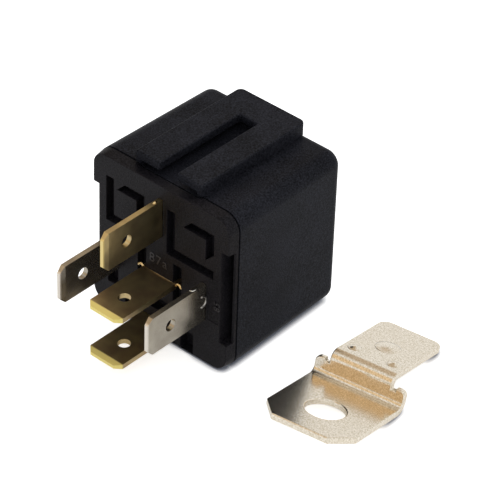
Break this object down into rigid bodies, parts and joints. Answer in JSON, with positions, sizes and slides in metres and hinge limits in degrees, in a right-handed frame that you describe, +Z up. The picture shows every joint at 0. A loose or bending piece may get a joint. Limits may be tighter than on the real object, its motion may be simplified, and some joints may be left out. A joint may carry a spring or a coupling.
{
  "type": "automotive relay",
  "caption": "Black plug-in automotive relay with flat blade terminals and raised bracket rails, lying beside its loose bent mounting bracket.",
  "frame": {"origin": "centre of the housing face that the relay lies on", "axes": "+Z up from the resting face to the bracket rails, -Y the way the blade terminals point, +X to the right across the terminal face"},
  "size_m": [0.0509, 0.0373, 0.0287],
  "materials": {
    "cover_plastic": "fine moulded grain, slightly worn",
    "base_plastic": "moulded, dry",
    "terminal_brass": "stamped, lightly tarnished",
    "terminal_plating": "tin plated",
    "bobbin_plastic": "natural nylon",
    "coil_copper": "enamelled copper wire",
    "soft_iron": "zinc plated iron",
    "spring_bronze": "rolled bronze",
    "rivet_steel": "nickel plated",
    "contact_silver": "silver alloy",
    "bracket_plating": "nickel plated sheet steel"
  },
  "bodies": {
    "housing": {"cover": "cover_plastic", "base": "base_plastic", "terminal_30": "terminal_brass", "terminal_85": "terminal_plating", "terminal_86": "terminal_plating", "terminal_87": "terminal_brass", "terminal_87a": "terminal_brass", "bobbin": "bobbin_plastic", "coil_winding": "coil_copper", "core": "soft_iron", "yoke": "soft_iron", "hinge_spring": "spring_bronze", "yoke_rivet_left": "rivet_steel", "yoke_rivet_right": "rivet_steel", "contact_no": "contact_silver", "contact_nc": "contact_silver", "coil_lead_85": "coil_copper", "coil_lead_86": "coil_copper", "mounting_bracket": "bracket_plating"},
    "armature": {"armature": "soft_iron", "contact_arm": "spring_bronze", "armature_rivet_left": "rivet_steel", "armature_rivet_right": "rivet_steel", "moving_contact": "contact_silver"}
  },
  "joints": [
    {"name": "armature_hinge", "type": "hinge", "parent": "housing", "child": "armature", "pos_m": [0, 0.00485, 0.02385], "axis": [-1, 0, 0], "range_deg": [0, 3], "stiffness_Nm_per_rad": 0.02, "springref_deg": -8.59, "deforming": ["hinge_spring"]}
  ]
}
